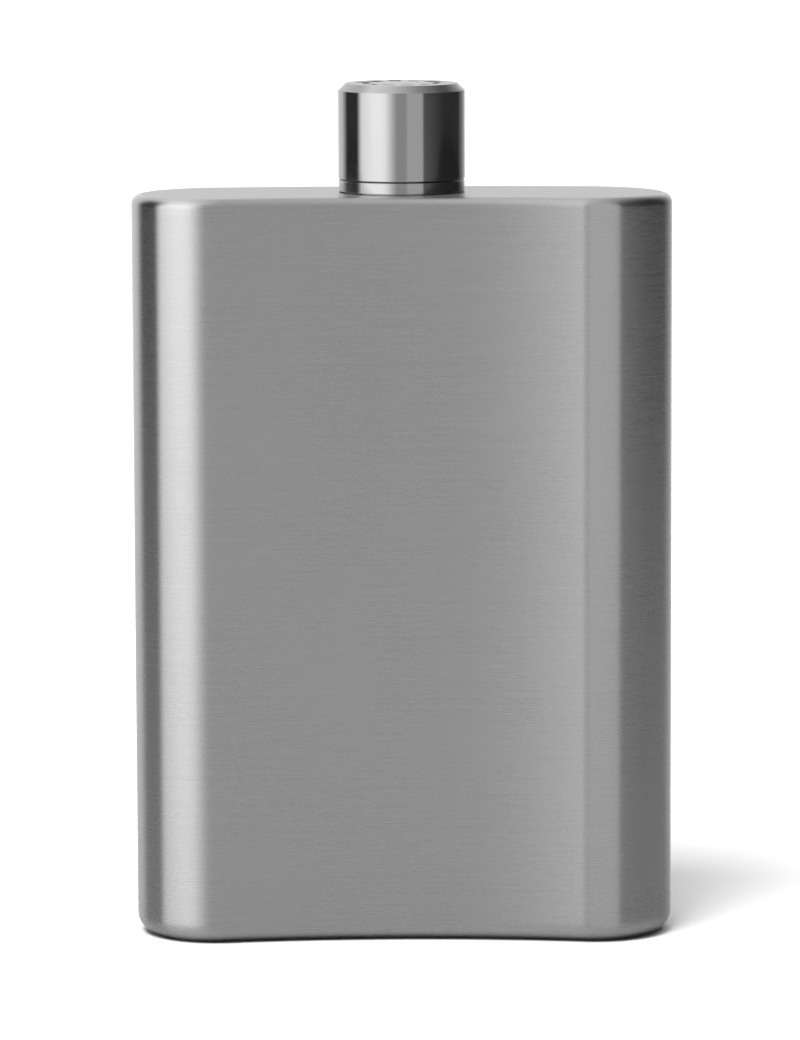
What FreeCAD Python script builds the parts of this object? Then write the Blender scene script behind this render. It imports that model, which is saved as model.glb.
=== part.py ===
import FreeCAD, Part
import math
import os
import Sketcher

# A kidney-shaped stainless hip flask with a screw cap.
# Frame: +Z up, millimetres. The base stands on z = 0 and the origin is the centre of the
# plan outline's box. The concave face looks towards -Y, and the neck is on x = 0.

DIMENSIONS = (
    # plan outline
    ("body_width", 88.0, "across the two rounded ends"),
    ("body_depth", 29.6, "from the front lobes to the crown of the back"),
    ("waist", 27.0, "thickness on the centre line"),
    ("front_corner", 12.9, "plan radius from each end into the concave front"),
    ("back_corner", 15.3, "plan radius from each end into the convex back"),
    # sheet steel body
    ("body_height", 121.8, "from the table to the flat shoulder"),
    ("wall", 0.7, "sheet thickness of shells and pans"),
    ("shoulder_round", 1.6, "edge radius of the top pan"),
    ("shoulder_depth", 3.0, "height of the top pan"),
    ("foot_round", 3.3, "edge radius of the base pan"),
    ("foot_depth", 4.6, "height of the base pan"),
    ("recess_margin", 9.0, "width of the standing rim around the base recess"),
    ("recess_depth", 0.8, "height of the raised centre of the base"),
    ("recess_slope", 45.0, "slope of the recess wall, degrees"),
    ("seam_width", 0.6, "width of a ground weld seam"),
    ("seam_root", 0.2, "weld standing proud on the inside"),
    # neck
    ("neck_offset", 1.3, "neck axis behind the outline's centre, on the waist's middle"),
    ("bore_radius", 5.5, "bore of the neck"),
    ("bore_chamfer", 0.3, "chamfer at both ends of the bore"),
    ("neck_radius", 6.8, "outside of the neck under its thread"),
    ("lead_in", 0.3, "chamfer outside the neck's rim"),
    ("shoulder_radius", 8.0, "plain part of the neck in the top plate and the collar"),
    ("flange_radius", 9.4, "flange of the neck under the top plate"),
    ("flange_thickness", 0.9, "thickness of that flange"),
    ("collar_radius", 10.3, "outside of the collar"),
    ("collar_foot", 0.2, "gap between the top plate and the collar"),
    ("collar_top", 123.85, "height of the collar's upper face"),
    ("collar_edge", 0.1, "chamfer on the collar's edges"),
    ("bead_radius", 9.2, "outside of the weld under the collar"),
    # cap
    ("cap_radius", 10.35, "outside of the cap"),
    ("cap_bottom", 124.05, "height of the cap's lower edge"),
    ("cap_top", 139.5, "overall height"),
    ("cap_chamfer", 1.15, "chamfer around the top of the cap"),
    ("cap_edge", 0.1, "chamfer on the cap's lower edge"),
    ("cap_wall", 1.2, "thickness of the cap's skirt and crown"),
    ("insert_setback", 0.4, "liner's lower edge above the cap's"),
    ("insert_bore", 7.85, "inside radius of the liner"),
    ("insert_crown", 1.0, "thickness of the liner's top"),
    ("insert_edge", 0.4, "chamfer on the liner's top edge"),
    ("seal_radius", 7.6, "radius of the sealing disc"),
    ("seal_thickness", 1.4, "thickness of the sealing disc"),
    ("seal_gap", 0.05, "clearance above and below the sealing disc"),
    # thread: one start, right hand
    ("thread_lead", 2.5, "rise per turn"),
    ("neck_crest", 7.6, "crest radius of the neck's thread"),
    ("insert_crest", 7.05, "crest radius of the liner's thread"),
    ("ridge_root", 1.2, "width of a ridge at its root"),
    ("ridge_crest", 0.6, "width of a ridge at its crest"),
    ("ridge_bury", 0.3, "depth of a ridge's root inside its wall"),
    ("neck_thread_start", 127.4, "height of the first turn on the neck"),
    ("neck_thread_turns", 2.25, "turns on the neck"),
    ("insert_thread_turns", 1.75, "turns in the liner"),
    ("flank_shift", 0.35, "rise of the liner's ridge towards the neck's ridge above it"),
)

# derived levels and sizes, as expressions on the sheet
SEAM_Y = "(dims.front_corner - dims.body_depth / 2)"
WAIST_Y = "(dims.body_depth / 2 - dims.waist)"
PLATE_UNDERSIDE = "(dims.body_height - dims.wall)"
PAN_LOWER_EDGE = "(dims.body_height - dims.shoulder_depth)"
SHELL_TOP = "(dims.body_height - dims.shoulder_depth - dims.seam_width)"
SHELL_BOTTOM = "(dims.foot_depth + dims.seam_width)"
SHELL_HEIGHT = f"({SHELL_TOP} - {SHELL_BOTTOM})"
CAP_BORE = "(dims.cap_radius - dims.cap_wall)"
CAP_CEILING = "(dims.cap_top - dims.cap_wall)"
INSERT_CEILING = "(dims.cap_top - dims.cap_wall - dims.insert_crown)"
SEAL_BOTTOM = "(dims.cap_top - dims.cap_wall - dims.insert_crown - dims.seal_gap - dims.seal_thickness)"
NECK_RIM = "(dims.cap_top - dims.cap_wall - dims.insert_crown - 2 * dims.seal_gap - dims.seal_thickness)"

START, END, CENTRE = 1, 2, 3        # points of a sketch edge
ORIGIN_POINT = (-1, 1)
HORIZONTAL_AXIS, VERTICAL_AXIS = -1, -2
AXIS_OF = {"DistanceX": VERTICAL_AXIS, "DistanceY": HORIZONTAL_AXIS}
SAME_LEVEL = 1e-6                   # heights closer than this are one level

doc = FreeCAD.newDocument("hip_flask")
sub_parts = []


def make_sheet():
    """The driving dimensions, one row each: name, value, meaning."""
    sheet = doc.addObject("Spreadsheet::Sheet", "dims")
    for row, (alias, value, meaning) in enumerate(DIMENSIONS, start=1):
        sheet.set(f"A{row}", alias)
        sheet.set(f"B{row}", str(value))
        sheet.set(f"C{row}", meaning)
        sheet.setAlias(f"B{row}", alias)
    doc.recompute()


make_sheet()
calculator = doc.addObject("App::FeaturePython", "calculator")


def size(expression):
    """The value of an expression on the sheet."""
    return float(calculator.evalExpression(expression))


# ---------------------------------------------------------------- bodies and sketches

def new_body(label):
    """A PartDesign body for one sub-part."""
    body = doc.addObject("PartDesign::Body", label)
    body.Label = label
    sub_parts.append(body)
    return body


def new_neck_body(label):
    """A body whose own Z axis is the neck's axis."""
    body = new_body(label)
    body.setExpression("Placement.Base.y", "dims.neck_offset")
    return body


def new_sketch(body, name, role, level=None):
    """A sketch on one of the body's own origin planes, raised to a level if one is given."""
    sketch = body.newObject("Sketcher::SketchObject", name)
    plane = next(item for item in body.Origin.OriginFeatures if item.Role == role)
    sketch.AttachmentSupport = [(plane, "")]
    sketch.MapMode = "FlatFace"
    if level is not None:
        sketch.setExpression("AttachmentOffset.Base.z", level)
    return sketch


def constrain(sketch, kind, *references):
    """A geometric constraint."""
    sketch.addConstraint(Sketcher.Constraint(kind, *references))


def dimension(sketch, kind, references, expression):
    """A dimensional constraint that follows an expression."""
    index = sketch.addConstraint(Sketcher.Constraint(kind, *references, size(expression)))
    sketch.setExpression(f"Constraints[{index}]", expression)


def fix_coordinate(sketch, kind, point, expression):
    """Hold one coordinate of a point, on either side of the origin or on the axis itself."""
    value = size(expression)
    if abs(value) < SAME_LEVEL:
        constrain(sketch, "PointOnObject", *point, AXIS_OF[kind])
    elif value > 0:
        dimension(sketch, kind, ORIGIN_POINT + point, expression)
    else:
        dimension(sketch, kind, point + ORIGIN_POINT, f"-({expression})")


def arc(centre_x, centre_y, radius, first, last):
    """An arc in the sketch plane, counter-clockwise from one angle to the other."""
    circle = Part.Circle(FreeCAD.Vector(centre_x, centre_y, 0), FreeCAD.Vector(0, 0, 1), radius)
    return Part.ArcOfCircle(circle, first, last)


def add_outline(sketch, inset):
    """The flask's plan outline moved inwards by an inset: six arcs, tangent all the way round.

    The concave front and the convex back are centred on the Y axis. At each end a front and
    a back corner arc meet on the seam line, where the outline is at its widest.
    """
    half_width = size(f"dims.body_width / 2 - {inset}")
    seam_y = size(SEAM_Y)
    front_y = size(f"{WAIST_Y} + {inset}")
    back_y = size(f"dims.body_depth / 2 - {inset}")
    front_corner = size(f"dims.front_corner - {inset}")
    back_corner = size(f"dims.back_corner - {inset}")

    # radii of the long arcs that are tangent to both corners
    front_x = half_width - front_corner
    back_x = half_width - back_corner
    front_rise = seam_y - front_y
    back_rise = back_y - seam_y
    front_radius = (front_x**2 + front_rise**2 - front_corner**2) / (2 * (front_corner - front_rise))
    back_radius = (back_x**2 + back_rise**2 - back_corner**2) / (2 * (back_rise - back_corner))
    front_centre = front_y - front_radius
    back_centre = back_y - back_radius
    front_angle = math.atan2(seam_y - front_centre, front_x)
    back_angle = math.atan2(seam_y - back_centre, back_x)

    geometry = (
        arc(0, front_centre, front_radius, front_angle, math.pi - front_angle),
        arc(front_x, seam_y, front_corner, front_angle - math.pi, 0),
        arc(back_x, seam_y, back_corner, 0, back_angle),
        arc(0, back_centre, back_radius, back_angle, math.pi - back_angle),
        arc(-back_x, seam_y, back_corner, math.pi - back_angle, math.pi),
        arc(-front_x, seam_y, front_corner, math.pi, 2 * math.pi - front_angle),
    )
    front, right_front, right_back, back, left_back, left_front = [
        sketch.addGeometry(edge, False) for edge in geometry
    ]
    for joint in (
        (right_front, START, front, START),
        (right_front, END, right_back, START),
        (right_back, END, back, START),
        (back, END, left_back, START),
        (left_back, END, left_front, START),
        (left_front, END, front, END),
    ):
        constrain(sketch, "Tangent", *joint)
    for long_arc, crown_y in ((front, f"{WAIST_Y} + {inset}"), (back, f"dims.body_depth / 2 - {inset}")):
        crown = sketch.addGeometry(Part.Point(FreeCAD.Vector(0, size(crown_y), 0)), True)
        constrain(sketch, "PointOnObject", long_arc, CENTRE, VERTICAL_AXIS)
        constrain(sketch, "PointOnObject", crown, START, VERTICAL_AXIS)
        constrain(sketch, "PointOnObject", crown, START, long_arc)
        fix_coordinate(sketch, "DistanceY", (crown, START), crown_y)
    constrain(sketch, "Horizontal", right_front, CENTRE, right_front, END)
    constrain(sketch, "Horizontal", left_front, CENTRE, left_front, START)
    constrain(sketch, "Symmetric", right_front, END, left_front, START, VERTICAL_AXIS)
    fix_coordinate(sketch, "DistanceX", (right_front, END), f"dims.body_width / 2 - {inset}")
    fix_coordinate(sketch, "DistanceY", (right_front, END), SEAM_Y)
    dimension(sketch, "Radius", (right_front,), f"dims.front_corner - {inset}")
    dimension(sketch, "Radius", (right_back,), f"dims.back_corner - {inset}")


def add_polygon(sketch, corners):
    """A closed polygon through (horizontal, vertical) pairs of expressions."""
    points = [FreeCAD.Vector(size(across), size(up), 0) for across, up in corners]
    count = len(points)
    edges = [
        sketch.addGeometry(Part.LineSegment(point, points[(index + 1) % count]), False)
        for index, point in enumerate(points)
    ]
    for index, edge in enumerate(edges):
        constrain(sketch, "Coincident", edge, END, edges[(index + 1) % count], START)
    for edge, (across, up) in zip(edges, corners):
        fix_coordinate(sketch, "DistanceX", (edge, START), across)
        fix_coordinate(sketch, "DistanceY", (edge, START), up)


# ---------------------------------------------------------------- features

def pad(body, sketch, length):
    """Material from the sketch upwards."""
    feature = body.newObject("PartDesign::Pad", f"{body.Name}_pad_{sketch.Name}")
    feature.Profile = sketch
    feature.setExpression("Length", length)
    doc.recompute()
    return feature


def pocket(body, sketch, length):
    """A cut from the sketch upwards; it has to take material away."""
    before = body.Shape.Volume
    feature = body.newObject("PartDesign::Pocket", f"{body.Name}_pocket_{sketch.Name}")
    feature.Profile = sketch
    feature.Reversed = True
    feature.setExpression("Length", length)
    doc.recompute()
    if body.Shape.Volume >= before:
        raise RuntimeError(f"{feature.Name} cuts nothing")
    return feature


def round_level(body, feature, level, radius):
    """A fillet on every edge of the feature that lies at one height."""
    height = size(level)
    names = [
        f"Edge{number}"
        for number, edge in enumerate(feature.Shape.Edges, start=1)
        if all(abs(vertex.Point.z - height) < SAME_LEVEL for vertex in edge.Vertexes)
    ]
    fillet = body.newObject("PartDesign::Fillet", f"{body.Name}_round_{feature.Name}")
    fillet.Base = (feature, names)
    fillet.setExpression("Radius", radius)
    doc.recompute()
    return fillet


def turn(body, name, corners):
    """A turned solid: a profile of (radius, height) pairs, revolved about the body's Z axis."""
    sketch = new_sketch(body, name, "XZ_Plane")
    add_polygon(sketch, corners)
    feature = body.newObject("PartDesign::Revolution", f"{name}_turned")
    feature.Profile = sketch
    feature.ReferenceAxis = (sketch, ["V_Axis"])
    feature.Angle = 360
    doc.recompute()
    return feature


def add_thread(body, name, root_radius, crest_radius, start_height, turns):
    """A right-hand ridge of trapezium section wound on the body's Z axis."""
    sketch = new_sketch(body, name, "XZ_Plane")
    half_root = "dims.ridge_root / 2"
    half_crest = "dims.ridge_crest / 2"
    add_polygon(sketch, (
        (root_radius, f"{start_height} - {half_root}"),
        (crest_radius, f"{start_height} - {half_crest}"),
        (crest_radius, f"{start_height} + {half_crest}"),
        (root_radius, f"{start_height} + {half_root}"),
    ))
    helix = body.newObject("PartDesign::AdditiveHelix", f"{name}_helix")
    helix.Profile = sketch
    helix.ReferenceAxis = (sketch, ["V_Axis"])
    helix.Mode = "pitch-turns-angle"
    helix.setExpression("Pitch", "dims.thread_lead")
    helix.setExpression("Turns", turns)
    doc.recompute()
    return helix


# ---------------------------------------------------------------- sheet steel body

def make_top_plate():
    """Top pan: flat shoulder, rounded edge, short skirt and the hole for the neck."""
    body = new_body("top_plate")
    outside = new_sketch(body, "top_outside", "XY_Plane", PAN_LOWER_EDGE)
    add_outline(outside, "0")
    pad(body, outside, "dims.shoulder_depth")
    inside = new_sketch(body, "top_inside", "XY_Plane", PAN_LOWER_EDGE)
    add_outline(inside, "dims.wall")
    hollow = pocket(body, inside, "dims.shoulder_depth - dims.wall")
    inner_round = round_level(body, hollow, PLATE_UNDERSIDE, "dims.shoulder_round - dims.wall")
    round_level(body, inner_round, "dims.body_height", "dims.shoulder_round")
    hole = new_sketch(body, "top_hole", "XY_Plane", PAN_LOWER_EDGE)
    centre = FreeCAD.Vector(0, size("dims.neck_offset"), 0)
    rim = Part.Circle(centre, FreeCAD.Vector(0, 0, 1), size("dims.shoulder_radius"))
    circle = hole.addGeometry(rim, False)
    constrain(hole, "PointOnObject", circle, CENTRE, VERTICAL_AXIS)
    fix_coordinate(hole, "DistanceY", (circle, CENTRE), "dims.neck_offset")
    dimension(hole, "Radius", (circle,), "dims.shoulder_radius")
    pocket(body, hole, "dims.shoulder_depth")


def make_base_plate():
    """Base pan: rounded edge, short skirt and a raised centre, so it stands on its rim."""
    body = new_body("base_plate")
    outside = new_sketch(body, "base_outside", "XY_Plane")
    add_outline(outside, "0")
    pad(body, outside, "dims.foot_depth")
    inside = new_sketch(body, "base_inside", "XY_Plane", "dims.wall")
    add_outline(inside, "dims.wall")
    hollow = pocket(body, inside, "dims.foot_depth")
    inner_round = round_level(body, hollow, "dims.wall", "dims.foot_round - dims.wall")
    round_level(body, inner_round, "0", "dims.foot_round")
    raised = new_sketch(body, "base_raised", "XY_Plane", "dims.wall")
    add_outline(raised, "dims.recess_margin - dims.wall / 2")
    centre = pad(body, raised, "dims.recess_depth")
    centre.setExpression("TaperAngle", "-dims.recess_slope")
    recess = new_sketch(body, "base_recess", "XY_Plane")
    add_outline(recess, "dims.recess_margin")
    dish = pocket(body, recess, "dims.recess_depth")
    dish.setExpression("TaperAngle", "-dims.recess_slope")
    doc.recompute()


def make_shell(label, side):
    """One wall of the flask: half of the outline's ring, cut back from the side seams.

    side is -1 for the concave front and +1 for the convex back.
    """
    body = new_body(label)
    ring = new_sketch(body, f"{label}_ring", "XY_Plane", SHELL_BOTTOM)
    add_outline(ring, "0")
    add_outline(ring, "dims.wall")
    pad(body, ring, SHELL_HEIGHT)
    cut = new_sketch(body, f"{label}_cut", "XY_Plane", SHELL_BOTTOM)
    seam_edge = f"{SEAM_Y} + {side} * dims.seam_width / 2"
    beyond = f"{-side} * dims.body_depth"
    add_polygon(cut, (
        ("-dims.body_width", seam_edge),
        ("dims.body_width", seam_edge),
        ("dims.body_width", beyond),
        ("-dims.body_width", beyond),
    ))
    pocket(body, cut, SHELL_HEIGHT)


def make_side_seam(label, side):
    """The weld down one end of the flask; side is -1 for the left and +1 for the right."""
    body = new_body(label)
    section = new_sketch(body, f"{label}_section", "XY_Plane", SHELL_BOTTOM)
    inner = f"{side} * (dims.body_width / 2 - dims.wall - dims.seam_root)"
    outer = f"{side} * dims.body_width / 2"
    front = f"{SEAM_Y} - dims.seam_width / 2"
    back = f"{SEAM_Y} + dims.seam_width / 2"
    add_polygon(section, ((inner, front), (outer, front), (outer, back), (inner, back)))
    pad(body, section, SHELL_HEIGHT)


def make_seam_ring(label, bottom):
    """The weld between a pan and the shells: a ring of the wall's section, proud inside."""
    body = new_body(label)
    ring = new_sketch(body, f"{label}_ring", "XY_Plane", bottom)
    add_outline(ring, "0")
    add_outline(ring, "(dims.wall + dims.seam_root)")
    pad(body, ring, "dims.seam_width")


# ---------------------------------------------------------------- neck

def make_neck_tube():
    """Threaded spout with a flange under the top plate and a plain shoulder through it."""
    body = new_neck_body("neck_tube")
    flange_bottom = f"{PLATE_UNDERSIDE} - dims.flange_thickness"
    turn(body, "neck_profile", (
        ("dims.bore_radius + dims.bore_chamfer", flange_bottom),
        ("dims.flange_radius", flange_bottom),
        ("dims.flange_radius", PLATE_UNDERSIDE),
        ("dims.shoulder_radius", PLATE_UNDERSIDE),
        ("dims.shoulder_radius", "dims.collar_top"),
        ("dims.neck_radius", "dims.collar_top"),
        ("dims.neck_radius", f"{NECK_RIM} - dims.lead_in"),
        ("dims.neck_radius - dims.lead_in", NECK_RIM),
        ("dims.bore_radius + dims.bore_chamfer", NECK_RIM),
        ("dims.bore_radius", f"{NECK_RIM} - dims.bore_chamfer"),
        ("dims.bore_radius", f"{flange_bottom} + dims.bore_chamfer"),
    ))
    add_thread(body, "neck_thread", "dims.neck_radius - dims.ridge_bury", "dims.neck_crest",
               "dims.neck_thread_start", "dims.neck_thread_turns")


def make_neck_collar():
    """Polished ring around the neck's shoulder, the cap's own diameter."""
    body = new_neck_body("neck_collar")
    bottom = "dims.body_height + dims.collar_foot"
    turn(body, "collar_profile", (
        ("dims.shoulder_radius", bottom),
        ("dims.collar_radius - dims.collar_edge", bottom),
        ("dims.collar_radius", f"{bottom} + dims.collar_edge"),
        ("dims.collar_radius", "dims.collar_top - dims.collar_edge"),
        ("dims.collar_radius - dims.collar_edge", "dims.collar_top"),
        ("dims.shoulder_radius", "dims.collar_top"),
    ))


def make_neck_weld():
    """Weld metal between the top plate, the neck's shoulder and the collar."""
    body = new_neck_body("neck_weld")
    top = "dims.body_height + dims.collar_foot"
    turn(body, "bead_profile", (
        ("dims.shoulder_radius", "dims.body_height"),
        ("dims.bead_radius", "dims.body_height"),
        ("dims.bead_radius", top),
        ("dims.shoulder_radius", top),
    ))


# ---------------------------------------------------------------- cap

def make_cap_shell():
    """Turned steel cap with a chamfered crown."""
    body = new_neck_body("cap_shell")
    turn(body, "shell_profile", (
        (CAP_BORE, "dims.cap_bottom"),
        ("dims.cap_radius - dims.cap_edge", "dims.cap_bottom"),
        ("dims.cap_radius", "dims.cap_bottom + dims.cap_edge"),
        ("dims.cap_radius", "dims.cap_top - dims.cap_chamfer"),
        ("dims.cap_radius - dims.cap_chamfer", "dims.cap_top"),
        ("0", "dims.cap_top"),
        ("0", CAP_CEILING),
        (CAP_BORE, CAP_CEILING),
    ))


def make_cap_insert():
    """Moulded liner pressed into the cap, with the female thread."""
    body = new_neck_body("cap_insert")
    bottom = "dims.cap_bottom + dims.insert_setback"
    turn(body, "insert_profile", (
        ("dims.insert_bore", bottom),
        (CAP_BORE, bottom),
        (CAP_BORE, f"{CAP_CEILING} - dims.insert_edge"),
        (f"{CAP_BORE} - dims.insert_edge", CAP_CEILING),
        ("0", CAP_CEILING),
        ("0", INSERT_CEILING),
        ("dims.insert_bore", INSERT_CEILING),
    ))
    start = "dims.neck_thread_start - dims.thread_lead / 2 + dims.flank_shift"
    add_thread(body, "insert_thread", "dims.insert_bore + dims.ridge_bury", "dims.insert_crest",
               start, "dims.insert_thread_turns")


def make_seal_disc():
    """Flat silicone disc between the liner's top and the neck's rim."""
    disc = doc.addObject("Part::Cylinder", "seal_disc")
    disc.Label = "seal_disc"
    disc.setExpression("Radius", "dims.seal_radius")
    disc.setExpression("Height", "dims.seal_thickness")
    disc.setExpression("Placement.Base.y", "dims.neck_offset")
    disc.setExpression("Placement.Base.z", SEAL_BOTTOM)
    sub_parts.append(disc)


# ---------------------------------------------------------------- build, check, write

def check():
    """Stop if any object failed or any sub-part is not one valid solid."""
    for item in doc.Objects:
        if "Invalid" in item.State or "Error" in item.State:
            raise RuntimeError(f"{item.Name} failed: {item.State}")
        if item.isDerivedFrom("Sketcher::SketchObject") and not item.FullyConstrained:
            raise RuntimeError(f"{item.Name} is not fully constrained")
    for part in sub_parts:
        shape = part.Shape
        if shape.isNull() or not shape.isValid() or len(shape.Solids) != 1:
            raise RuntimeError(f"{part.Label} is not one valid solid")


make_shell("front_shell", -1)
make_shell("back_shell", 1)
make_side_seam("left_seam_weld", -1)
make_side_seam("right_seam_weld", 1)
make_top_plate()
make_seam_ring("top_seam_weld", SHELL_TOP)
make_base_plate()
make_seam_ring("base_seam_weld", "dims.foot_depth")
make_neck_tube()
make_neck_collar()
make_neck_weld()
make_cap_shell()
make_cap_insert()
make_seal_disc()

doc.recompute()
check()
os.makedirs("parts", exist_ok=True)
for part in sub_parts:
    part.Shape.exportStep(f"parts/{part.Label}.step")
    print(f"{part.Label}: {part.Shape.Volume:.1f} mm3")
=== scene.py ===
import math

import bpy
from mathutils import Matrix, Vector


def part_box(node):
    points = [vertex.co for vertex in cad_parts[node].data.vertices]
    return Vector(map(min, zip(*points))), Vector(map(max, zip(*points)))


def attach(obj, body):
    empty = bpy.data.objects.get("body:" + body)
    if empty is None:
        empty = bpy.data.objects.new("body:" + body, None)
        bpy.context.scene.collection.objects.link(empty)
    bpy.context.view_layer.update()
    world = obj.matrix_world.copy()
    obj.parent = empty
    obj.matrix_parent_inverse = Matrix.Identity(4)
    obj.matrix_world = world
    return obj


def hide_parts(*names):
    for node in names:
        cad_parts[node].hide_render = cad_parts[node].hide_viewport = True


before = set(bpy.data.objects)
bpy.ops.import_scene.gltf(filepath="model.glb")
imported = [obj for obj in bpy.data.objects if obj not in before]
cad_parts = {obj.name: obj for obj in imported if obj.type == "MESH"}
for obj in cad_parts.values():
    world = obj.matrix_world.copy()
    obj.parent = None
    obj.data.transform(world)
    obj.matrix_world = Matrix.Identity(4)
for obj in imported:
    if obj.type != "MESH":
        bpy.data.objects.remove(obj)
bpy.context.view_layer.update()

# A brushed steel hip flask with a polished screw cap, on a white table under soft light.
# Metres, in the part's own frame: +Z up, concave face towards -Y, the neck on x = 0.

MM = 0.001
TURN = 2 * math.pi

# ---------------------------------------------------------------- sizes

# plan outline: a concave front and a convex back that meet in rounded ends
HALF_WIDTH = (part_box("top_plate")[1].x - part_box("top_plate")[0].x) / 2
HALF_DEPTH = 14.8 * MM
WAIST = 27.0 * MM                   # depth at the middle
FRONT_CORNER = 12.9 * MM
BACK_CORNER = 15.3 * MM
SEAM_Y = FRONT_CORNER - HALF_DEPTH
WALL = 0.7 * MM
SEAM_HALF = 0.3 * MM
SEAM_WALL = WALL + 0.2 * MM         # a weld stands a little proud inside

# heights of the sheet steel pieces
BODY_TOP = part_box("top_plate")[1].z
PAN_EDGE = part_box("top_plate")[0].z
SHELL_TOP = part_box("front_shell")[1].z
SHELL_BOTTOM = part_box("front_shell")[0].z
FOOT_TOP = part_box("base_plate")[1].z
SHOULDER_ROUND = 1.6 * MM
FOOT_ROUND = 3.3 * MM
RECESS_MARGIN = 9.0 * MM
RECESS_DEPTH = 0.8 * MM

# neck, collar and cap, around one vertical axis
NECK_Y = 1.3 * MM
BORE = 5.5 * MM
NECK_ROOT = 6.8 * MM
NECK_CREST = 7.6 * MM
NECK_SHOULDER = 8.0 * MM
NECK_FLANGE = 9.4 * MM
FLANGE_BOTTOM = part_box("neck_tube")[0].z
NECK_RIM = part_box("neck_tube")[1].z
COLLAR = 10.3 * MM
COLLAR_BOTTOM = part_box("neck_collar")[0].z
COLLAR_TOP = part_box("neck_collar")[1].z
BEAD = 9.2 * MM
CAP = 10.35 * MM
CAP_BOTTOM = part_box("cap_shell")[0].z
CAP_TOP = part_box("cap_shell")[1].z
CAP_CHAMFER = 1.15 * MM
CAP_WALL = 1.2 * MM
LINER_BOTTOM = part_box("cap_insert")[0].z
LINER_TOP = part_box("cap_insert")[1].z
LINER_BORE = 7.85 * MM
LINER_CREST = 7.05 * MM
LINER_CROWN = 1.0 * MM
SEAL = 7.6 * MM
SEAL_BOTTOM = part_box("seal_disc")[0].z
SEAL_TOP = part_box("seal_disc")[1].z
EDGE = 0.1 * MM                     # chamfer on the edges of the cap and the collar
SEAL_EDGE = 0.15 * MM
NECK_LEAD_IN = 0.3 * MM

# thread: one start, right hand
LEAD = 2.5 * MM
CREST_HALF = 0.3 * MM
FLANK_SLOPE = 1.1 / 0.3             # radial fall per height along a flank
THREAD_RISE = NECK_CREST - NECK_ROOT
THREAD_FADE = 0.12                  # share of a turn over which a thread's end fades out
THREAD_STEP = 0.1 * MM              # height between the rings that carry a thread
THREAD_MARGIN = LEAD / 4            # wall kept beyond the end of a thread
THREAD_PULL = 0.35 * MM             # lifts the liner's ridge towards the neck's
NECK_THREAD_START = 127.4 * MM
NECK_THREAD_TURNS = 2.25
LINER_THREAD_START = NECK_THREAD_START - LEAD / 2 + THREAD_PULL
LINER_THREAD_TURNS = 1.75

# engraved dashes on the cap's crown
DASHES = 12
DASH_SHARE = 0.6                    # of the way from one dash to the next
DASH_OUTER = 6.4 * MM
DASH_INNER = 5.4 * MM
DASH_DEPTH = 0.12 * MM

# fineness of the meshes
CORNER_STEPS = 56
FACE_STEPS = 72
ROUND_STEPS = 14
TURNED_STEPS = 192
LEVEL = 1e-3 * MM                   # a stretch of profile that rises less than this is flat
JOINED = 1e-4 * MM                  # grid on which corners become one


# ---------------------------------------------------------------- outlines

def arc_stations(centre, radius, first, last, steps, outward=1):
    """Points of an arc with their outward normals, from one angle to the other."""
    stations = []
    for index in range(steps + 1):
        angle = first + (last - first) * index / steps
        direction = Vector((math.cos(angle), math.sin(angle)))
        stations.append((Vector(centre) + direction * radius, direction * outward))
    return stations


def body_stations():
    """The flask's plan outline as its front half and its back half, counter-clockwise.

    The front half runs from the left seam to the right one, and the back half returns.
    """
    front_x = HALF_WIDTH - FRONT_CORNER
    back_x = HALF_WIDTH - BACK_CORNER
    front_rise = SEAM_Y - (HALF_DEPTH - WAIST)
    back_rise = HALF_DEPTH - SEAM_Y
    front_radius = ((front_x**2 + front_rise**2 - FRONT_CORNER**2)
                    / (2 * (FRONT_CORNER - front_rise)))
    back_radius = ((back_x**2 + back_rise**2 - BACK_CORNER**2)
                   / (2 * (back_rise - BACK_CORNER)))
    front_centre = HALF_DEPTH - WAIST - front_radius
    back_centre = HALF_DEPTH - back_radius
    front_angle = math.atan2(SEAM_Y - front_centre, front_x)
    back_angle = math.atan2(SEAM_Y - back_centre, back_x)
    weld_front = math.asin(SEAM_HALF / FRONT_CORNER)
    weld_back = math.asin(SEAM_HALF / BACK_CORNER)

    front = arc_stations((-front_x, SEAM_Y), FRONT_CORNER, math.pi + weld_front,
                         TURN - front_angle, CORNER_STEPS)
    front += arc_stations((0, front_centre), front_radius, math.pi - front_angle,
                          front_angle, FACE_STEPS, -1)[1:]
    front += arc_stations((front_x, SEAM_Y), FRONT_CORNER, front_angle - math.pi,
                          -weld_front, CORNER_STEPS)[1:]
    back = arc_stations((back_x, SEAM_Y), BACK_CORNER, weld_back, back_angle, CORNER_STEPS)
    back += arc_stations((0, back_centre), back_radius, back_angle,
                         math.pi - back_angle, FACE_STEPS)[1:]
    back += arc_stations((-back_x, SEAM_Y), BACK_CORNER, math.pi - back_angle,
                         math.pi - weld_back, CORNER_STEPS)[1:]
    return front, back


def seam_stations(from_stations, to_stations, side):
    """The short stretch of outline across a side seam."""
    middle = (Vector((side * HALF_WIDTH, SEAM_Y)), Vector((side, 0)))
    return [from_stations[-1], middle, to_stations[0]]


def circle_stations(radius):
    """A circle around the neck's axis, without its repeated last point."""
    return arc_stations((0, NECK_Y), radius, 0, TURN, TURNED_STEPS)[:-1]


def round_over(inset, level, radius, first, last):
    """Profile points of a rounded edge, by the direction in which the surface looks.

    0 degrees looks outwards and 90 degrees up; inset and level are the arc's centre.
    """
    points = []
    for index in range(ROUND_STEPS + 1):
        angle = math.radians(first + (last - first) * index / ROUND_STEPS)
        points.append((inset - radius * math.cos(angle), level + radius * math.sin(angle)))
    return points


def chain(points):
    """A profile with a crease at every point."""
    return [[before, after] for before, after in zip(points, points[1:])]


def loop(points):
    """A closed profile with a crease at every point."""
    return chain(points + points[:1])


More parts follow.
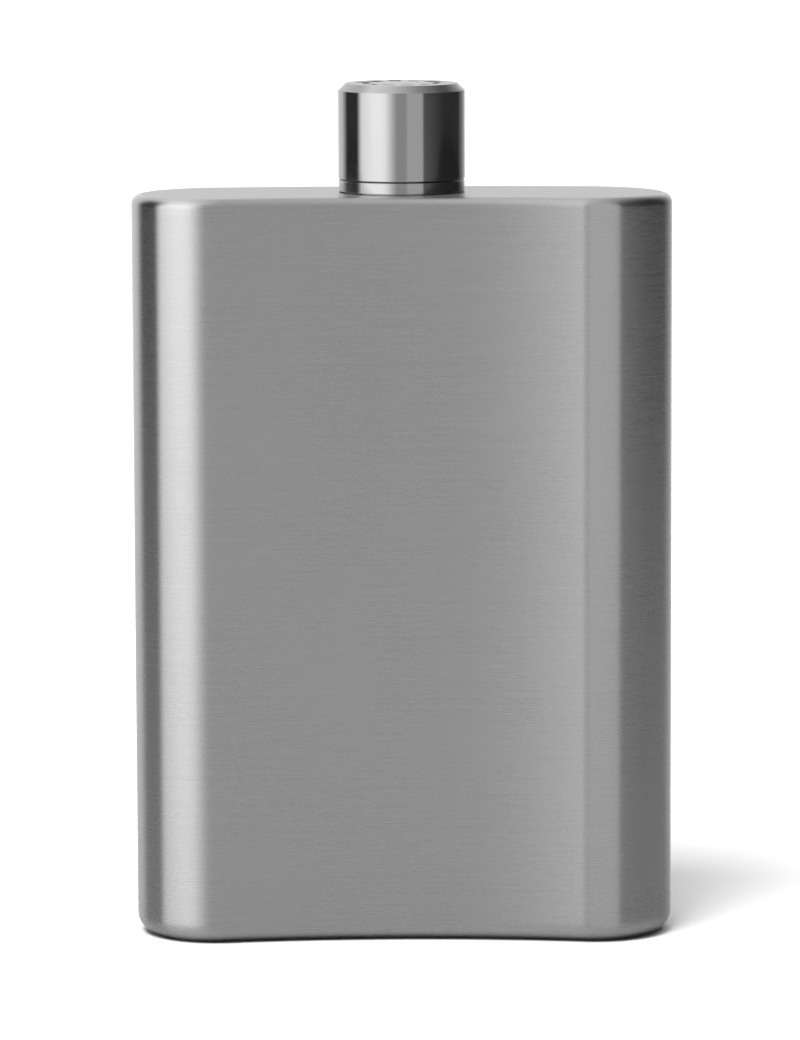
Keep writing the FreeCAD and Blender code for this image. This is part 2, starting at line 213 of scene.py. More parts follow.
def insets(widest, profile):
    """A profile of (radius, height) pairs as insets from a circle of the widest radius."""
    return [(widest - radius, level) for radius, level in profile]


# ---------------------------------------------------------------- mesh building

class Builder:
    """Collects faces with their own corner normals and brush coordinates, then makes a piece.

    Brush coordinates run along the lines of the finish first and across them second.
    """

    def __init__(self):
        self.vertices = []
        self.faces = []
        self.normals = []
        self.brush = []

    def ring(self, points):
        """Adds a row of vertices and returns their numbers."""
        first = len(self.vertices)
        self.vertices.extend(points)
        return list(range(first, first + len(points)))

    def face(self, corners, normals, brush):
        """Adds one face."""
        self.faces.append(corners)
        self.normals.extend(normals)
        self.brush.extend(brush)

    def flat_face(self, corners, normal):
        """Adds one level face, brushed along x."""
        brush = [self.vertices[corner].xy for corner in corners]
        self.face(corners, [normal] * len(corners), brush)

    def joined(self):
        """The vertices without repeats, and the new number of each old one."""
        numbers = {}
        points = []
        renumbered = []
        for vertex in self.vertices:
            key = tuple(round(value / JOINED) for value in vertex)
            if key not in numbers:
                numbers[key] = len(points)
                points.append(tuple(vertex))
            renumbered.append(numbers[key])
        return points, renumbered

    def piece(self, name, material, body, slot, *replaced):
        """Makes the mesh object and ties it to the frame."""
        points, renumbered = self.joined()
        faces = [[renumbered[corner] for corner in face] for face in self.faces]
        mesh = bpy.data.meshes.new(name)
        mesh.from_pydata(points, [], faces)
        layer = mesh.uv_layers.new(name="brush")
        for item, uv in zip(layer.data, self.brush):
            item.uv = uv
        mesh.polygons.foreach_set("use_smooth", [True] * len(faces))
        mesh.normals_split_custom_set([tuple(normal) for normal in self.normals])
        mesh.materials.append(material)
        piece = bpy.data.objects.new(name, mesh)
        bpy.context.scene.collection.objects.link(piece)
        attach(piece, body)
        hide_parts(*replaced)


def place(station, inset, level):
    """The point at an inset from an outline, at a height."""
    point, normal = station
    flat = point - normal * inset
    return Vector((flat.x, flat.y, level))


def stroke_normals(stroke):
    """Outward and upward parts of the normal at each point of a smooth stretch of profile."""
    spans = []
    for (inset_a, level_a), (inset_b, level_b) in zip(stroke, stroke[1:]):
        span = Vector((level_b - level_a, inset_b - inset_a))
        spans.append(span.normalized())
    normals = [spans[0]]
    normals += [(before + after).normalized() for before, after in zip(spans, spans[1:])]
    return normals + [spans[-1]]


def is_level(stroke):
    """True if a stretch of profile is one flat face."""
    levels = [level for _, level in stroke]
    return max(levels) - min(levels) < LEVEL


def add_stroke(build, stations, stroke, closed=True):
    """Sweeps a smooth stretch of profile along an outline; returns its first and last rings."""
    count = len(stations)
    lengths = [0.0]
    for (point_a, _), (point_b, _) in zip(stations, stations[1:] + stations[:1]):
        lengths.append(lengths[-1] + (point_b - point_a).length)
    rings = [build.ring([place(station, inset, level) for station in stations])
             for inset, level in stroke]
    normals = stroke_normals(stroke)
    flat = is_level(stroke)
    across = 0.0
    for row in range(len(stroke) - 1):
        (inset_a, level_a), (inset_b, level_b) = stroke[row], stroke[row + 1]
        across_next = across + math.hypot(inset_b - inset_a, level_b - level_a)
        for column in range(count if closed else count - 1):
            after = (column + 1) % count
            places = [(row, column), (row, after), (row + 1, after), (row + 1, column)]
            corners = [rings[part][station] for part, station in places]
            corner_normals = []
            for part, station in places:
                out, up = normals[part]
                direction = stations[station][1]
                corner_normals.append(Vector((direction.x * out, direction.y * out, up)))
            if flat:
                brush = [build.vertices[corner].xy for corner in corners]
            else:
                start, end = lengths[column], lengths[column + 1]
                brush = [(start, across), (end, across), (end, across_next), (start, across_next)]
            build.face(corners, corner_normals, brush)
        across = across_next
    return rings[0], rings[-1]


def sweep(build, stations, strokes, closed=True):
    """Sweeps a whole profile, given as smooth stretches that meet at creases."""
    ends = [add_stroke(build, stations, stroke, closed) for stroke in strokes]
    return ends[0][0], ends[-1][1]


def close_end(build, stations, index, profile, outward):
    """Closes the end of an open sweep with one flat face."""
    ring = build.ring([place(stations[index], inset, level) for inset, level in profile])
    if outward < 0:
        ring = ring[::-1]
    _, normal = stations[index]
    direction = Vector((-normal.y, normal.x, 0)) * outward
    build.face(ring, [direction] * len(ring), [build.vertices[corner].yz for corner in ring])


def close_flat(build, ring, up):
    """Closes a ring with one level face that looks up (1) or down (-1)."""
    build.flat_face(ring if up > 0 else ring[::-1], Vector((0, 0, up)))


def bridge_flat(build, outer, inner, up):
    """A level face between two rings of equal length."""
    for column in range(len(outer)):
        after = (column + 1) % len(outer)
        corners = [outer[column], outer[after], inner[after], inner[column]]
        if up < 0:
            corners.reverse()
        build.flat_face(corners, Vector((0, 0, up)))


# ---------------------------------------------------------------- node helpers

class Nodes:
    """Short names for building a material's or the world's node tree."""

    def __init__(self, owner):
        owner.use_nodes = True
        self.tree = owner.node_tree
        self.tree.nodes.clear()

    def add(self, kind, inputs=None, **settings):
        """A node with its settings; each named input gets a number or a node's output."""
        node = self.tree.nodes.new(kind)
        for name, value in settings.items():
            setattr(node, name, value)
        for name, value in (inputs or {}).items():
            self.feed(node.inputs[name], value)
        return node

    def feed(self, socket, value):
        """Gives an input a constant or a node's output."""
        if isinstance(value, bpy.types.NodeSocket):
            self.tree.links.new(value, socket)
        else:
            socket.default_value = value

    def math(self, operation, first, second):
        """One operation on two numbers or outputs."""
        return self.add("ShaderNodeMath", {0: first, 1: second}, operation=operation).outputs[0]

    def noise(self, coordinates, cells, detail, roughness=0.5):
        """Noise with so many cells per metre along each axis of some coordinates."""
        scaled = self.add("ShaderNodeMapping", {"Scale": cells, "Vector": coordinates})
        node = self.add("ShaderNodeTexNoise", {
            "Scale": 1.0, "Detail": detail, "Roughness": roughness, "Vector": scaled.outputs[0]})
        return node.outputs["Fac"]

    def span(self, value, low, high, to_low, to_high):
        """A value moved from one range to another, and clamped to it."""
        return self.add("ShaderNodeMapRange", {
            "Value": value, "From Min": low, "From Max": high,
            "To Min": to_low, "To Max": to_high}).outputs["Result"]

    def vary(self, noise, middle, share):
        """A number that follows a noise, up to a share below and above its middle."""
        return self.span(noise, NOISE_LOW, NOISE_HIGH, middle * (1 - share), middle * (1 + share))

    def relief(self, height, depth, strength=1.0):
        """A normal bent by a height between 0 and 1."""
        return self.add("ShaderNodeBump", {
            "Strength": strength, "Distance": depth, "Height": height}).outputs[0]

    def surface(self, shader, output="ShaderNodeOutputMaterial"):
        """Ends the tree with a shader node."""
        self.add(output, {"Surface": shader.outputs[0]})


NOISE_LOW, NOISE_HIGH = 0.3, 0.7    # between these lies nearly all of a noise

# layers of a brushed finish: cells per line along and across it, detail and roughness
FINE_LINES = (1.0, 1.0, 3.0, 0.65)
LONG_LINES = (0.22, 0.5, 2.0, 0.5)
SCRATCHES = (0.35, 1.3, 1.0, 0.4)
CLOUD_CELLS = (55, 40, 1)           # soft unevenness, in cells per metre
FINE_SHARE = 0.6                    # of the fine lines, against the long ones
SCRATCH_FROM, SCRATCH_TO = 0.70, 0.76
SCRATCH_DEPTH = 1.5                 # in tone, as a multiple of the lines' own streak
CLOUD_TONE = 0.015
CLOUD_ROUGHNESS = 0.04
LINE_ROUGHNESS = 0.08
ACROSS_LINES = 0.25                 # of a turn: spreads a highlight across the lines

# moulded materials
MOTTLE_CELLS = (260, 260, 260)
GRAIN_CELLS = (2600, 2600, 2600)
GRAIN_DEPTH = 0.03 * MM
GRAIN_STRENGTH = 0.4
MOTTLE_ROUGHNESS = 0.1
SCATTER = 1.5 * MM                  # how far light travels inside

BRUSHED_LINE = (9 * MM, 0.22 * MM)  # length and width of a line
TURNED_LINE = (14 * MM, 0.12 * MM)


def steel(name, tone, roughness, anisotropy, line, streak, bump):
    """Steel with lines along the brush coordinates' first axis.

    line is the length and width of one, streak the share by which the lines vary in
    tone, and bump their depth.
    """
    material = bpy.data.materials.new(name)
    nodes = Nodes(material)
    brush = nodes.add("ShaderNodeUVMap", uv_map="brush").outputs[0]
    length, width = line

    def layer(along, across, detail, ragged):
        return nodes.noise(brush, (along / length, across / width, 1), detail, ragged)

    cloud = nodes.noise(brush, CLOUD_CELLS, 2.0)
    lines = nodes.math("ADD", nodes.math("MULTIPLY", layer(*FINE_LINES), FINE_SHARE),
                       nodes.math("MULTIPLY", layer(*LONG_LINES), 1 - FINE_SHARE))
    worn = nodes.span(layer(*SCRATCHES), SCRATCH_FROM, SCRATCH_TO, 1.0, 1 - SCRATCH_DEPTH * streak)
    even = nodes.math("MULTIPLY", nodes.vary(lines, tone, streak),
                      nodes.vary(cloud, 1, CLOUD_TONE))
    colour = nodes.math("MULTIPLY", even, worn)
    shade = nodes.add("ShaderNodeCombineColor", {0: colour, 1: colour, 2: colour})
    tangent = nodes.add("ShaderNodeTangent", direction_type="UV_MAP", uv_map="brush")
    nodes.surface(nodes.add("ShaderNodeBsdfPrincipled", {
        "Metallic": 1.0,
        "Base Color": shade.outputs[0],
        "Roughness": nodes.math("MULTIPLY", nodes.vary(lines, roughness, LINE_ROUGHNESS),
                                nodes.vary(cloud, 1, CLOUD_ROUGHNESS)),
        "Anisotropic": anisotropy,
        "Anisotropic Rotation": ACROSS_LINES,
        "Tangent": tangent.outputs[0],
        "Normal": nodes.relief(lines, bump),
    }))
    return material


def polymer(name, colour, roughness, mottle, subsurface):
    """A moulded plastic or rubber with a faint mottle and a fine moulded grain."""
    material = bpy.data.materials.new(name)
    nodes = Nodes(material)
    position = nodes.add("ShaderNodeTexCoord").outputs["Object"]
    broad = nodes.noise(position, MOTTLE_CELLS, 3.0)
    grain = nodes.noise(position, GRAIN_CELLS, 2.0)
    mix = nodes.add("ShaderNodeMix", {
        "Factor": broad,
        "A": (*[value * (1 - mottle) for value in colour], 1),
        "B": (*[min(1, value * (1 + mottle)) for value in colour], 1),
    }, data_type="RGBA")
    nodes.surface(nodes.add("ShaderNodeBsdfPrincipled", {
        "Base Color": mix.outputs["Result"],
        "Roughness": nodes.vary(broad, roughness, MOTTLE_ROUGHNESS),
        "Subsurface Weight": subsurface,
        "Subsurface Radius": (SCATTER, SCATTER, SCATTER),
        "Normal": nodes.relief(grain, GRAIN_DEPTH, GRAIN_STRENGTH),
    }))
    return material


brushed = steel("brushed_body", tone=0.70, roughness=0.28, anisotropy=0.95,
                line=BRUSHED_LINE, streak=0.05, bump=0.0006 * MM)
ground = steel("ground_weld", tone=0.695, roughness=0.28, anisotropy=0.95,
               line=BRUSHED_LINE, streak=0.055, bump=0.0006 * MM)
polished = steel("polished_cap", tone=0.61, roughness=0.17, anisotropy=0.93,
                 line=TURNED_LINE, streak=0.03, bump=0.0002 * MM)
turned = steel("turned_neck", tone=0.60, roughness=0.24, anisotropy=0.85,
               line=TURNED_LINE, streak=0.06, bump=0.0008 * MM)
liner_plastic = polymer("cap_liner", (0.80, 0.80, 0.78), roughness=0.42,
                        mottle=0.04, subsurface=0.15)
silicone = polymer("silicone_seal", (0.74, 0.74, 0.72), roughness=0.35,
                   mottle=0.05, subsurface=0.3)


# ---------------------------------------------------------------- sheet steel body

front_half, back_half = body_stations()
right_seam = seam_stations(front_half, back_half, 1)
left_seam = seam_stations(back_half, front_half, -1)
whole_outline = front_half + right_seam[1:-1] + back_half + left_seam[1:-1]


def make_wall(name, stations, thickness, material, slot, node):
    """A stretch of the flask's upright wall, closed at its two ends."""
    build = Builder()
    corners = [(0, SHELL_BOTTOM), (0, SHELL_TOP),
               (thickness, SHELL_TOP), (thickness, SHELL_BOTTOM)]
    sweep(build, stations, loop(corners), closed=False)
    close_end(build, stations, 0, corners, -1)
    close_end(build, stations, -1, corners, 1)
    build.piece(name, material, "flask", slot, node)


def make_seam_ring(name, bottom, top, node):
    """The weld between a pan and the walls, ground flush outside."""
    build = Builder()
    corners = [(0, bottom), (0, top), (SEAM_WALL, top), (SEAM_WALL, bottom)]
    sweep(build, whole_outline, loop(corners))
    build.piece(name, ground, "flask", "ground_weld", node)


def make_top_pan():
    """Flat shoulder with a rounded edge, a short skirt and the hole for the neck."""
    build = Builder()
    underside = BODY_TOP - WALL
    centre = (SHOULDER_ROUND, BODY_TOP - SHOULDER_ROUND)
    outside = [(0, PAN_EDGE)] + round_over(*centre, SHOULDER_ROUND, 0, 90)
    inside = round_over(*centre, SHOULDER_ROUND - WALL, 90, 0) + [(WALL, PAN_EDGE)]
    _, top_ring = add_stroke(build, whole_outline, outside)
    under_ring, _ = add_stroke(build, whole_outline, inside)
    add_stroke(build, whole_outline, [(WALL, PAN_EDGE), (0, PAN_EDGE)])

    axis = Vector((0, NECK_Y))
    hole = []
    for point, _ in whole_outline:
        direction = (point - axis).normalized()
        hole.append((axis + direction * NECK_SHOULDER, -direction))
    hole_top, hole_bottom = add_stroke(build, hole, [(0, BODY_TOP), (0, underside)])
    bridge_flat(build, top_ring, hole_top, 1)
    bridge_flat(build, under_ring, hole_bottom, -1)
    build.piece("top_pan", brushed, "flask", "brushed_body", "top_plate")


def make_base_pan():
    """Rounded foot, short skirt and a raised centre inside the standing rim."""
    build = Builder()
    centre = (FOOT_ROUND, FOOT_ROUND)
    outside = round_over(*centre, FOOT_ROUND, -90, 0) + [(0, FOOT_TOP)]
    edge = [(0, FOOT_TOP), (WALL, FOOT_TOP)]
    inside = [(WALL, FOOT_TOP)] + round_over(*centre, FOOT_ROUND - WALL, 0, -90)
    slope_foot = RECESS_MARGIN - WALL / 2
    sweep(build, whole_outline, [outside, edge, inside, [(FOOT_ROUND, WALL), (slope_foot, WALL)]])
    _, raised = add_stroke(build, whole_outline, [
        (slope_foot, WALL), (slope_foot + RECESS_DEPTH, WALL + RECESS_DEPTH)])
    close_flat(build, raised, 1)
    recess, _ = sweep(build, whole_outline, chain([
        (RECESS_MARGIN + RECESS_DEPTH, RECESS_DEPTH), (RECESS_MARGIN, 0), (FOOT_ROUND, 0)]))
    close_flat(build, recess, -1)
    build.piece("base_pan", brushed, "flask", "brushed_body", "base_plate")


make_wall("front_wall", front_half, WALL, brushed, "brushed_body", "front_shell")
make_wall("back_wall", back_half, WALL, brushed, "brushed_body", "back_shell")
make_wall("right_seam", right_seam, SEAM_WALL, ground, "ground_weld", "right_seam_weld")
make_wall("left_seam", left_seam, SEAM_WALL, ground, "ground_weld", "left_seam_weld")
make_seam_ring("top_seam", SHELL_TOP, PAN_EDGE, "top_seam_weld")
make_seam_ring("base_seam", FOOT_TOP, SHELL_BOTTOM, "base_seam_weld")
make_top_pan()
make_base_pan()


# ---------------------------------------------------------------- turned pieces

def turned_piece(name, material, body, slot, node, profile):
    """A closed profile of (radius, height) pairs turned around the neck's axis.

    A profile that starts and ends on the axis is closed with a flat face at each end.
    """
    build = Builder()
    widest = max(radius for radius, _ in profile)
    solid = profile[0][0] == 0
    points = insets(widest, profile[1:-1] if solid else profile)
    first, last = sweep(build, circle_stations(widest), chain(points) if solid else loop(points))
    if solid:
        close_flat(build, first, -1)
        close_flat(build, last, 1)
    build.piece(name, material, body, slot, node)


def ridge(height, phase, start, turns):
    """How far up a thread's ridge a point is, from 0 at its foot to 1 on its crest.

    phase is the point's share of a turn around the axis; the ridge may pass it several times.
    """
    best = 0.0
    for number in range(-1, math.ceil(turns) + 1):
        turn = phase + number
        if 0 <= turn <= turns:
            fall = (abs(height - start - LEAD * turn) - CREST_HALF) * FLANK_SLOPE / THREAD_RISE
            fade = min(turn, turns - turn, THREAD_FADE) / THREAD_FADE
            best = max(best, min(1.0, 1.0 - fall) * math.sqrt(fade))
    return best


def threaded_wall(build, bottom, top, root, crest, start, turns):
    """A wall around the neck's axis with a helical ridge from radius root to radius crest.

    It looks outwards if the crest is wider than the root, and inwards otherwise.
    """
    rows = math.ceil((top - bottom) / THREAD_STEP)
    side = 1 if crest > root else -1

    def radius(row, column):
        height = bottom + (top - bottom) * row / rows
        return root + (crest - root) * ridge(height, column / TURNED_STEPS, start, turns)

    radii = [[radius(row, column) for column in range(TURNED_STEPS)] for row in range(rows + 1)]
    circle = circle_stations(1.0)
    axis = Vector((0, NECK_Y))
    step_up = (top - bottom) / rows
    step_round = TURN / TURNED_STEPS
    rings = []
    normals = []
    for row in range(rows + 1):
        ring = []
        ring_normals = []
        for column, (_, direction) in enumerate(circle):
            here = radii[row][column]
            flat = axis + direction * here
            ring.append(Vector((flat.x, flat.y, bottom + step_up * row)))
            below, above = radii[max(row - 1, 0)][column], radii[min(row + 1, rows)][column]
            before, after = radii[row][column - 1], radii[row][(column + 1) % TURNED_STEPS]
            rise = (above - below) / (2 * step_up)
            turn = (after - before) / (2 * step_round * here)
            lean = direction - Vector((-direction.y, direction.x)) * turn
            ring_normals.append(Vector((lean.x, lean.y, -rise)).normalized() * side)
        rings.append(build.ring(ring))
        normals.append(ring_normals)
    step_along = step_round * root
    for row in range(rows):
        low, high = row * step_up, (row + 1) * step_up
        for column in range(TURNED_STEPS):
            after = (column + 1) % TURNED_STEPS
            start_at, end_at = column * step_along, (column + 1) * step_along
            places = [(row, column), (row, after), (row + 1, after), (row + 1, column)]
            brush = [(start_at, low), (end_at, low), (end_at, high), (start_at, high)]
            if side < 0:
                places.reverse()
                brush.reverse()
            build.face([rings[r][c] for r, c in places], [normals[r][c] for r, c in places], brush)


def make_collar():
    """Polished ring round the foot of the neck."""
    turned_piece("collar_ring", polished, "flask", "polished_cap", "neck_collar", [
        (NECK_SHOULDER, COLLAR_BOTTOM),
        (COLLAR - EDGE, COLLAR_BOTTOM),
        (COLLAR, COLLAR_BOTTOM + EDGE),
        (COLLAR, COLLAR_TOP - EDGE),
        (COLLAR - EDGE, COLLAR_TOP),
        (NECK_SHOULDER, COLLAR_TOP),
    ])


def make_neck():
    """Spout with a flange under the top pan and a coarse thread for the cap."""
    build = Builder()
    stations = circle_stations(NECK_FLANGE)
    flange_top = BODY_TOP - WALL
    rim = NECK_RIM - NECK_LEAD_IN
    thread_from = NECK_THREAD_START - THREAD_MARGIN
    below_thread = [
        (BORE, rim), (BORE, FLANGE_BOTTOM + NECK_LEAD_IN), (BORE + NECK_LEAD_IN, FLANGE_BOTTOM),
        (NECK_FLANGE, FLANGE_BOTTOM), (NECK_FLANGE, flange_top), (NECK_SHOULDER, flange_top),
        (NECK_SHOULDER, COLLAR_TOP), (NECK_ROOT, COLLAR_TOP), (NECK_ROOT, thread_from),
    ]
    above_thread = [
        (NECK_ROOT, rim), (NECK_ROOT - NECK_LEAD_IN, NECK_RIM),
        (BORE + NECK_LEAD_IN, NECK_RIM), (BORE, rim),
    ]
    sweep(build, stations, chain(insets(NECK_FLANGE, below_thread)))
    threaded_wall(build, thread_from, rim, NECK_ROOT, NECK_CREST,
                  NECK_THREAD_START, NECK_THREAD_TURNS)
    sweep(build, stations, chain(insets(NECK_FLANGE, above_thread)))
    build.piece("threaded_spout", turned, "flask", "turned_neck", "neck_tube")


def make_neck_bead():
    """Weld metal under the collar."""
    turned_piece("neck_bead", ground, "flask", "ground_weld", "neck_weld", [
        (NECK_SHOULDER, BODY_TOP), (BEAD, BODY_TOP),
        (BEAD, COLLAR_BOTTOM), (NECK_SHOULDER, COLLAR_BOTTOM),
    ])


def make_liner():
    """Moulded plastic inside the cap, threaded to match the neck."""
    build = Builder()
    outside = CAP - CAP_WALL
    stations = circle_stations(outside)
    ceiling = LINER_TOP - LINER_CROWN
    thread_end = LINER_THREAD_START + LEAD * LINER_THREAD_TURNS + THREAD_MARGIN
    _, crown = sweep(build, stations, chain(insets(outside, [
        (LINER_BORE, LINER_BOTTOM), (outside, LINER_BOTTOM), (outside, LINER_TOP)])))
    close_flat(build, crown, 1)
    threaded_wall(build, LINER_BOTTOM, thread_end, LINER_BORE, LINER_CREST,
                  LINER_THREAD_START, LINER_THREAD_TURNS)
    roof, _ = add_stroke(build, stations, insets(outside, [
        (LINER_BORE, ceiling), (LINER_BORE, thread_end)]))
    close_flat(build, roof, -1)
    build.piece("threaded_liner", liner_plastic, "cap", "cap_liner", "cap_insert")


def make_seal():
    """Soft disc that closes on the rim of the neck."""
    turned_piece("soft_seal", silicone, "seal", "silicone_seal", "seal_disc", [
        (0, SEAL_BOTTOM), (SEAL - SEAL_EDGE, SEAL_BOTTOM), (SEAL, SEAL_BOTTOM + SEAL_EDGE),
        (SEAL, SEAL_TOP - SEAL_EDGE), (SEAL - SEAL_EDGE, SEAL_TOP), (0, SEAL_TOP),
    ])


def make_cap():
    """Polished metal cap with a chamfered top edge and a ring of short engraved dashes."""
    build = Builder()
    stations = circle_stations(CAP)
    ceiling, outer = sweep(build, stations, chain([
        (CAP_WALL, CAP_TOP - CAP_WALL), (CAP_WALL, CAP_BOTTOM), (EDGE, CAP_BOTTOM),
        (0, CAP_BOTTOM + EDGE), (0, CAP_TOP - CAP_CHAMFER), (CAP_CHAMFER, CAP_TOP),
        (CAP - DASH_OUTER, CAP_TOP),
    ]))
    close_flat(build, ceiling, -1)

    def ring_at(radius, level):
        return build.ring([place(station, CAP - radius, level) for station in stations])

    def side_face(corners, normal):
        points = [build.vertices[corner] for corner in corners]
        build.face(corners, [normal] * 4, [(point.length, point.z) for point in points])

    inner = ring_at(DASH_INNER, CAP_TOP)
    floor_outer = ring_at(DASH_OUTER, CAP_TOP - DASH_DEPTH)
    floor_inner = ring_at(DASH_INNER, CAP_TOP - DASH_DEPTH)
    pitch = TURNED_STEPS // DASHES
    engraved = [column % pitch < pitch * DASH_SHARE for column in range(TURNED_STEPS)]
    up = Vector((0, 0, 1))
    for column, cut in enumerate(engraved):
        after = (column + 1) % TURNED_STEPS
        if not cut:
            build.flat_face([outer[column], outer[after], inner[after], inner[column]], up)
            continue
        direction = stations[column][1].to_3d()
        along = Vector((-direction.y, direction.x, 0))
        build.flat_face([floor_outer[column], floor_outer[after],
                         floor_inner[after], floor_inner[column]], up)
        side_face([outer[after], outer[column], floor_outer[column], floor_outer[after]], -direction)
        side_face([inner[column], inner[after], floor_inner[after], floor_inner[column]], direction)
        if not engraved[column - 1]:
            side_face([outer[column], inner[column], floor_inner[column], floor_outer[column]], along)
        if not engraved[after]:
            side_face([inner[after], outer[after], floor_outer[after], floor_inner[after]], -along)
    close_flat(build, inner, 1)
    build.piece("cap_body", polished, "cap", "polished_cap", "cap_shell")


make_collar()
make_neck()
make_neck_bead()
make_liner()
make_seal()
make_cap()


# ---------------------------------------------------------------- studio

# what stands around the flask: azimuths where it starts, is full, starts to fade and ends,
# in degrees from the camera's side towards +X, and its brightness
SURROUNDINGS = (
    (-88, -78, 36, 42, 0.33),       # pale wall in front
    (-88, -78, -30, -8, 0.72),      # softbox before it, on the left
    (-80, -50, -40, -14, 0.38),     # the softbox's bright middle
    (30, 36, 40, 80, 0.05),         # dim corner on the right
    (-190, -180, -137, -118, 0.70), # backdrop, left of the middle
    (126, 160, 180, 190, 0.47),     # backdrop, right of the middle
    (150, 175, 180, 190, 0.34),     # where its right part is lit best
    (-190, -180, -172, -150, 0.11), # where its left part is lit best
)
ROOM = 0.02                         # brightness where nothing stands
WALLS_END, CEILING_FULL = 0.58, 0.85    # heights on a unit sphere around the flask
CEILING_LEFT, CEILING_RIGHT = -0.43, 0.60
OVERHEAD_LEFT, OVERHEAD_RIGHT = 0.98, 0.10
EVEN_LIGHT = 0.13                   # what falls on everything but the steel's reflections
SEEN_BACKDROP = 1.2                 # what the camera sees past the floor

FLOOR_GAP = 0.04 * MM               # keeps the foot's flat rim off the floor's own surface
FLOOR_REACH = 30.0
FLOOR_TONE = 0.86
TABLE_REACH = 0.60
TABLE_TONE = 0.27
REFLECTOR_NEAR = (0.018, -0.110)
REFLECTOR_FAR = (0.315, -0.389)
REFLECTOR_HEIGHT = 0.45
REFLECTOR_GLOW = 0.51


def background(nodes, strength):
    """A white background of a brightness given by a node."""
    return nodes.add("ShaderNodeBackground", {"Color": grey(1), "Strength": strength}).outputs[0]


def make_world():
    """A little even light, while the steel reflects a lit studio around it.

    Light sampling is off, because it would take the even light for the studio in the
    blurred reflections.
    """
    world = bpy.data.worlds.new("studio")
    world.cycles.sampling_method = "NONE"
    bpy.context.scene.world = world
    nodes = Nodes(world)
    towards = nodes.add("ShaderNodeTexCoord").outputs["Generated"]
    across, depth, height = nodes.add("ShaderNodeSeparateXYZ", {"Vector": towards}).outputs
    azimuth = nodes.math("ARCTAN2", across, nodes.math("MULTIPLY", depth, -1.0))
    in_degrees = nodes.math("MULTIPLY", azimuth, 180 / math.pi)
    around = ROOM
    for start, full, fading, end, brightness in SURROUNDINGS:
        rising = nodes.span(in_degrees, start, full, 0, brightness)
        share = nodes.span(in_degrees, fading, end, 1, 0)
        around = nodes.math("ADD", nodes.math("MULTIPLY", rising, share), around)
    above = nodes.span(across, CEILING_LEFT, CEILING_RIGHT, OVERHEAD_LEFT, OVERHEAD_RIGHT)
    upwards = nodes.span(height, WALLS_END, CEILING_FULL, 0, 1)
    sideways = nodes.math("SUBTRACT", 1.0, upwards)
    studio = nodes.math("ADD", nodes.math("MULTIPLY", upwards, above),
                        nodes.math("MULTIPLY", sideways, around))
    path = nodes.add("ShaderNodeLightPath")
    plain = nodes.span(path.outputs["Is Camera Ray"], 0, 1, EVEN_LIGHT, SEEN_BACKDROP)
    mix = nodes.add("ShaderNodeMixShader", {
        "Fac": path.outputs["Is Glossy Ray"],
        1: background(nodes, plain),
        2: background(nodes, studio),
    })
    nodes.surface(mix, "ShaderNodeOutputWorld")


def grey(tone):
    """An opaque grey."""
    return tone, tone, tone, 1


def square(reach):
    """The corners of a level square around the flask."""
    return [(-reach, -reach, 0), (reach, -reach, 0), (reach, reach, 0), (-reach, reach, 0)]


def stage_mesh(name, corners, shader, inputs):
    """A flat stage object with a one-shader material."""
    mesh = bpy.data.meshes.new(name)
    mesh.from_pydata(corners, [], [tuple(range(len(corners)))])
    material = bpy.data.materials.new(name)
    nodes = Nodes(material)
    nodes.surface(nodes.add(shader, inputs))
    mesh.materials.append(material)
    thing = bpy.data.objects.new(name, mesh)
    bpy.context.scene.collection.objects.link(thing)
    return thing


def only_reflected(thing):
    """Leaves a stage object to show in reflections and nowhere else."""
    thing.visible_camera = False
    thing.visible_diffuse = False
    thing.visible_shadow = False
    thing.visible_transmission = False


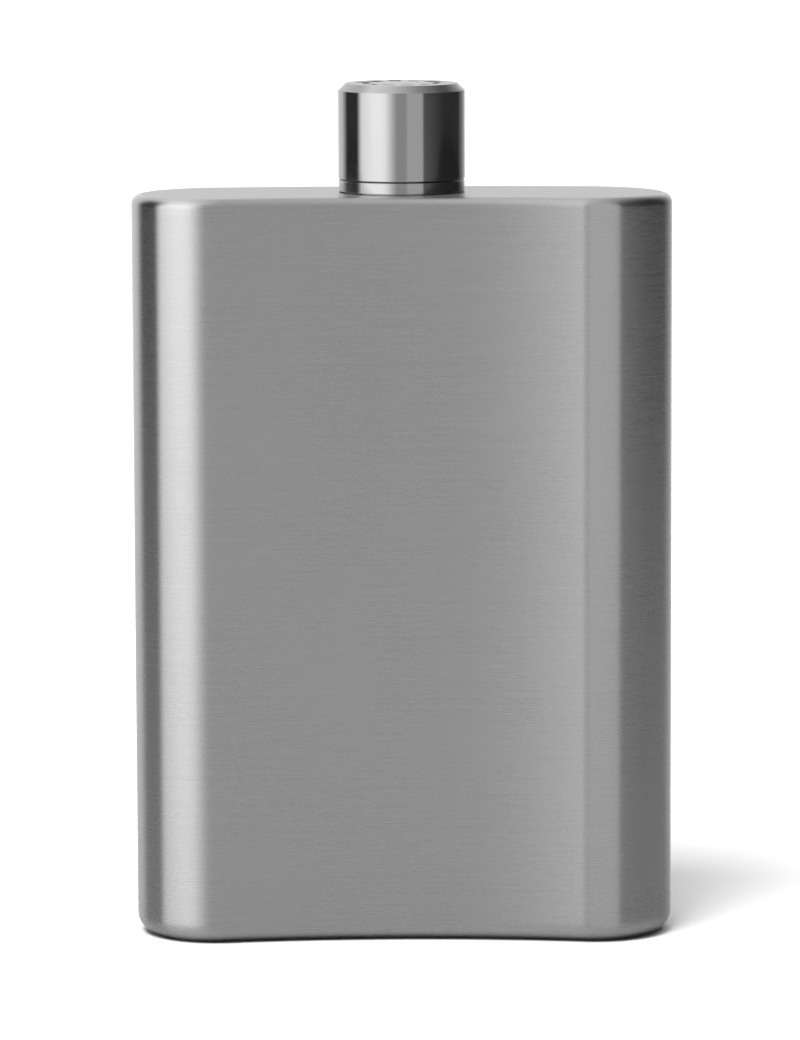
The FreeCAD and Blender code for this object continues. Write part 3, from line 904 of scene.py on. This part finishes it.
def make_stage():
    """White floor, the table that the steel reflects, and a reflector at the front right."""
    floor = stage_mesh("floor", square(FLOOR_REACH), "ShaderNodeBsdfDiffuse",
                       {"Color": grey(FLOOR_TONE)})
    floor.location.z = -FLOOR_GAP
    floor.visible_glossy = False
    table = stage_mesh("table_reflection", square(TABLE_REACH), "ShaderNodeBsdfPrincipled",
                       {"Base Color": grey(TABLE_TONE), "Roughness": 0.15, "IOR": 1.8})
    table.location.z = -FLOOR_GAP / 2
    only_reflected(table)
    reflector = stage_mesh("reflector", [
        (*REFLECTOR_NEAR, 0.0), (*REFLECTOR_FAR, 0.0),
        (*REFLECTOR_FAR, REFLECTOR_HEIGHT), (*REFLECTOR_NEAR, REFLECTOR_HEIGHT),
    ], "ShaderNodeEmission", {"Strength": REFLECTOR_GLOW})
    only_reflected(reflector)


def make_sun(name, azimuth, elevation, spread, brightness):
    """Soft light from one direction, in degrees; it reaches the whole table evenly."""
    light = bpy.data.lights.new(name, "SUN")
    light.angle = math.radians(spread)
    light.energy = brightness
    lamp = bpy.data.objects.new(name, light)
    bpy.context.scene.collection.objects.link(lamp)
    around, up = math.radians(azimuth), math.radians(elevation)
    level = math.cos(up)
    towards = Vector((math.sin(around) * level, -math.cos(around) * level, math.sin(up)))
    lamp.rotation_euler = towards.to_track_quat("Z", "Y").to_euler()
    lamp.visible_glossy = False


make_world()
make_stage()
make_sun("key", azimuth=-30, elevation=60, spread=28, brightness=3.1)
make_sun("top", azimuth=0, elevation=90, spread=80, brightness=1.95)


# ---------------------------------------------------------------- camera

PITCH = 0.13297                     # radians below the horizon
ROLL = -0.00372                     # radians
DISTANCE = 0.9312
TARGET = Vector((-0.485 * MM, NECK_Y, 67.71 * MM))
LENS = 196.0                        # millimetres, on a 36 mm long side
NEAREST, FARTHEST = 0.05, 100.0     # what the camera can see


def make_camera():
    """The camera at the photograph's height and distance."""
    data = bpy.data.cameras.new("camera")
    data.lens = LENS
    data.clip_start = NEAREST
    data.clip_end = FARTHEST
    camera = bpy.data.objects.new("camera", data)
    bpy.context.scene.collection.objects.link(camera)
    bpy.context.scene.camera = camera
    back = Vector((0, -math.cos(PITCH), math.sin(PITCH)))
    tilt = Matrix.Rotation(math.pi / 2 - PITCH, 4, "X") @ Matrix.Rotation(ROLL, 4, "Z")
    camera.matrix_world = Matrix.Translation(TARGET + back * DISTANCE) @ tilt


make_camera()
bpy.context.scene.view_settings.view_transform = "Standard"
